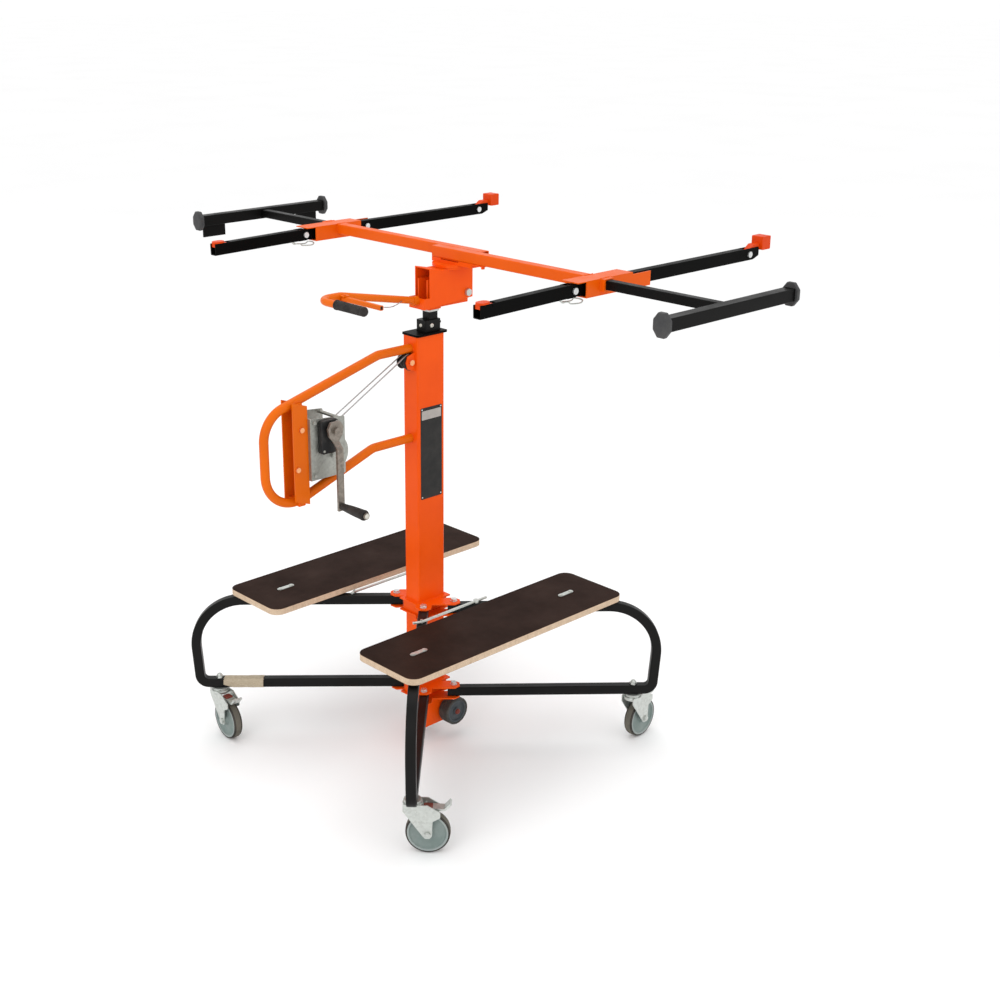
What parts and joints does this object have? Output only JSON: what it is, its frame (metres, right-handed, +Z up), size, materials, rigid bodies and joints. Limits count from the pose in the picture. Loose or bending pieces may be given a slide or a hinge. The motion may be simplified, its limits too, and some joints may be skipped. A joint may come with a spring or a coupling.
{
  "type": "drywall panel hoist",
  "caption": "Wheeled drywall panel hoist: hand-winched telescopic mast on folding legs with step boards, carrying a tilting, turning cradle with folding arms.",
  "frame": {"origin": "on the floor, under the axis of the mast", "axes": "+Z up; +X along the cradle beam, to the side that the crank and the tilt grip point to; +Y towards the arms with raised stops, away from the winch"},
  "size_m": [1.91, 1.367, 1.4985],
  "materials": {
    "orange_paint": "gloss",
    "black_paint": "gloss",
    "zinc": "satin",
    "cable_steel": "satin",
    "black_plastic": "matte",
    "grip_rubber": "matte",
    "wheel_grey": "matte",
    "film_ply": "satin"
  },
  "bodies": {
    "mast": {"mast_column": "orange_paint", "mast_top_plate": "black_plastic", "upper_leg_bracket": "orange_paint", "lower_leg_bracket": "orange_paint", "front_leg": "black_paint", "rear_leg": "black_paint", "frame_bolts": "zinc", "tie_rods": "zinc", "front_step_board": "film_ply", "rear_step_board": "film_ply", "step_clips": "zinc", "winch_frame": "orange_paint", "winch_channel": "orange_paint", "winch_side_plates": "zinc", "gear_cover": "black_plastic", "pulley_bracket": "orange_paint", "hoist_cable": "cable_steel"},
    "pulley_wheel": {"pulley": "black_plastic"},
    "drum": {"winch_drum": "zinc", "drum_winding": "cable_steel"},
    "crank": {"crank_arm": "zinc"},
    "crank_handle": {"crank_grip": "grip_rubber"},
    "transport": {"transport_axle": "zinc", "transport_wheels": "wheel_grey"},
    "leg_right": {"right_leg": "black_paint"},
    "leg_left": {"left_leg": "black_paint"},
    "mast_middle": {"mid_mast": "black_paint"},
    "mast_inner": {"inner_mast": "black_paint", "tilt_bracket": "orange_paint", "tilt_bolt": "zinc"},
    "head": {"head_box": "orange_paint", "tilt_handle": "orange_paint", "handle_grip": "grip_rubber", "lock_cable": "cable_steel"},
    "lever": {"release_lever": "orange_paint"},
    "cradle": {"turntable": "orange_paint", "cradle_beam": "orange_paint", "far_arms": "black_paint", "arm_bolts": "zinc"},
    "arm_left": {"near_arm_left": "black_paint"},
    "stop_near_left": {"near_stop_left": "orange_paint"},
    "stop_far_left": {"far_stop_left": "orange_paint"},
    "t_left": {"t_bar_left": "black_paint"},
    "arm_right": {"near_arm_right": "black_paint"},
    "stop_near_right": {"near_stop_right": "orange_paint"},
    "stop_far_right": {"far_stop_right": "orange_paint"},
    "t_right": {"t_bar_right": "black_paint"},
    "right_fork": {"right_caster_fork": "zinc"},
    "right_wheel": {"right_caster_wheel": "wheel_grey"},
    "right_pedal": {"right_caster_pedal": "zinc"},
    "rear_fork": {"rear_caster_fork": "zinc"},
    "rear_wheel": {"rear_caster_wheel": "wheel_grey"},
    "rear_pedal": {"rear_caster_pedal": "zinc"},
    "left_fork": {"left_caster_fork": "zinc"},
    "left_wheel": {"left_caster_wheel": "wheel_grey"},
    "left_pedal": {"left_caster_pedal": "zinc"},
    "front_fork": {"front_caster_fork": "zinc"},
    "front_wheel": {"front_caster_wheel": "wheel_grey"},
    "front_pedal": {"front_caster_pedal": "zinc"}
  },
  "joints": [
    {"name": "mast_lift", "type": "slide", "parent": "mast", "child": "mast_middle", "axis": [0, 0, 1], "range_m": [0, 0.8]},
    {"name": "inner_lift", "type": "slide", "parent": "mast_middle", "child": "mast_inner", "axis": [0, 0, 1], "range_m": [0, 0.8]},
    {"name": "drum_turn", "type": "hinge", "parent": "mast", "child": "drum", "pos_m": [0, -0.354, 0.988], "axis": [1, 0, 0], "continuous": true},
    {"name": "crank_turn", "type": "hinge", "parent": "mast", "child": "crank", "pos_m": [0, -0.369, 1.063], "axis": [1, 0, 0], "continuous": true},
    {"name": "grip_turn", "type": "hinge", "parent": "crank", "child": "crank_handle", "pos_m": [0.134, -0.369, 0.857], "axis": [1, 0, 0], "continuous": true},
    {"name": "pulley_turn", "type": "hinge", "parent": "mast", "child": "pulley_wheel", "pos_m": [0, -0.064, 1.183], "axis": [1, 0, 0], "continuous": true},
    {"name": "transport_roll", "type": "hinge", "parent": "mast", "child": "transport", "pos_m": [0, 0.066, 0.081], "axis": [1, 0, 0], "continuous": true},
    {"name": "head_tilt", "type": "hinge", "parent": "mast_inner", "child": "head", "pos_m": [0, 0.136, 1.352], "axis": [-1, 0, 0], "range_deg": [0, 65]},
    {"name": "lever_squeeze", "type": "hinge", "parent": "head", "child": "lever", "pos_m": [0.018, -0.29, 1.393], "axis": [0, 0, -1], "range_deg": [0, 11], "stiffness_Nm_per_rad": 0.6},
    {"name": "cradle_turn", "type": "hinge", "parent": "head", "child": "cradle", "pos_m": [0, 0.102, 1.434], "axis": [0, 0, 1], "continuous": true},
    {"name": "near_arm_fold_left", "type": "hinge", "parent": "cradle", "child": "arm_left", "pos_m": [-0.54, 0.004, 1.455], "axis": [1, 0, 0], "range_deg": [0, 90]},
    {"name": "near_stop_flip_left", "type": "hinge", "parent": "arm_left", "child": "stop_near_left", "pos_m": [-0.54, -0.27416, 1.46066], "axis": [-1, 0, 0], "range_deg": [0, 90]},
    {"name": "far_stop_flip_left", "type": "hinge", "parent": "cradle", "child": "stop_far_left", "pos_m": [-0.54, 0.715, 1.455], "axis": [1, 0, 0], "range_deg": [0, 90]},
    {"name": "t_bar_slide_left", "type": "slide", "parent": "cradle", "child": "t_left", "axis": [-1, 0, 0], "range_m": [-0.25, 0.12]},
    {"name": "near_arm_fold_right", "type": "hinge", "parent": "cradle", "child": "arm_right", "pos_m": [0.54, 0.004, 1.455], "axis": [1, 0, 0], "range_deg": [0, 90]},
    {"name": "near_stop_flip_right", "type": "hinge", "parent": "arm_right", "child": "stop_near_right", "pos_m": [0.54, -0.27416, 1.46066], "axis": [-1, 0, 0], "range_deg": [0, 90]},
    {"name": "far_stop_flip_right", "type": "hinge", "parent": "cradle", "child": "stop_far_right", "pos_m": [0.54, 0.715, 1.455], "axis": [1, 0, 0], "range_deg": [0, 90]},
    {"name": "t_bar_slide_right", "type": "slide", "parent": "cradle", "child": "t_right", "axis": [1, 0, 0], "range_m": [-0.25, 0.12]},
    {"name": "leg_fold_right", "type": "hinge", "parent": "mast", "child": "leg_right", "pos_m": [0.08481, 0.03722, 0.3], "axis": [0, 0, 1], "range_deg": [0, 70]},
    {"name": "leg_fold_left", "type": "hinge", "parent": "mast", "child": "leg_left", "pos_m": [-0.07479, -0.0457, 0.3], "axis": [0, 0, 1], "range_deg": [0, 70]},
    {"name": "right_caster_swivel", "type": "hinge", "parent": "leg_right", "child": "right_fork", "pos_m": [0.44059, 0.44078, 0.15], "axis": [0, 0, 1], "continuous": true},
    {"name": "right_caster_roll", "type": "hinge", "parent": "right_fork", "child": "right_wheel", "pos_m": [0.4378, 0.48068, 0.06], "axis": [-0.9976, -0.0698, 0], "continuous": true},
    {"name": "right_brake_press", "type": "hinge", "parent": "right_fork", "child": "right_pedal", "pos_m": [0.43822, 0.47469, 0.1325], "axis": [-0.9976, -0.0698, 0], "range_deg": [0, 9]},
    {"name": "rear_caster_swivel", "type": "hinge", "parent": "mast", "child": "rear_fork", "pos_m": [-0.43982, 0.43982, 0.15], "axis": [0, 0, 1], "continuous": true},
    {"name": "rear_caster_roll", "type": "hinge", "parent": "rear_fork", "child": "rear_wheel", "pos_m": [-0.47741, 0.42614, 0.06], "axis": [0.342, -0.9397, 0], "continuous": true},
    {"name": "rear_brake_press", "type": "hinge", "parent": "rear_fork", "child": "rear_pedal", "pos_m": [-0.47177, 0.42819, 0.1325], "axis": [0.342, -0.9397, 0], "range_deg": [0, 9]},
    {"name": "left_caster_swivel", "type": "hinge", "parent": "leg_left", "child": "left_fork", "pos_m": [-0.43478, -0.44551, 0.15], "axis": [0, 0, 1], "continuous": true},
    {"name": "left_caster_roll", "type": "hinge", "parent": "left_fork", "child": "left_wheel", "pos_m": [-0.39487, -0.4483, 0.06], "axis": [0.0698, 0.9976, 0], "continuous": true},
    {"name": "left_brake_press", "type": "hinge", "parent": "left_fork", "child": "left_pedal", "pos_m": [-0.40086, -0.44788, 0.1325], "axis": [0.0698, 0.9976, 0], "range_deg": [0, 9]},
    {"name": "front_caster_swivel", "type": "hinge", "parent": "mast", "child": "front_fork", "pos_m": [0.43982, -0.43982, 0.15], "axis": [0, 0, 1], "continuous": true},
    {"name": "front_caster_roll", "type": "hinge", "parent": "front_fork", "child": "front_wheel", "pos_m": [0.46908, -0.41254, 0.06], "axis": [-0.682, 0.7314, 0], "continuous": true},
    {"name": "front_brake_press", "type": "hinge", "parent": "front_fork", "child": "front_pedal", "pos_m": [0.46469, -0.41663, 0.1325], "axis": [-0.682, 0.7314, 0], "range_deg": [0, 9]}
  ],
  "couplings": [
    {"joint": "inner_lift", "follows": "mast_lift", "ratio": 1},
    {"joint": "drum_turn", "follows": "mast_lift", "rad_per_m": 21.505},
    {"joint": "crank_turn", "follows": "mast_lift", "rad_per_m": -49.129},
    {"joint": "pulley_turn", "follows": "mast_lift", "rad_per_m": 50}
  ]
}
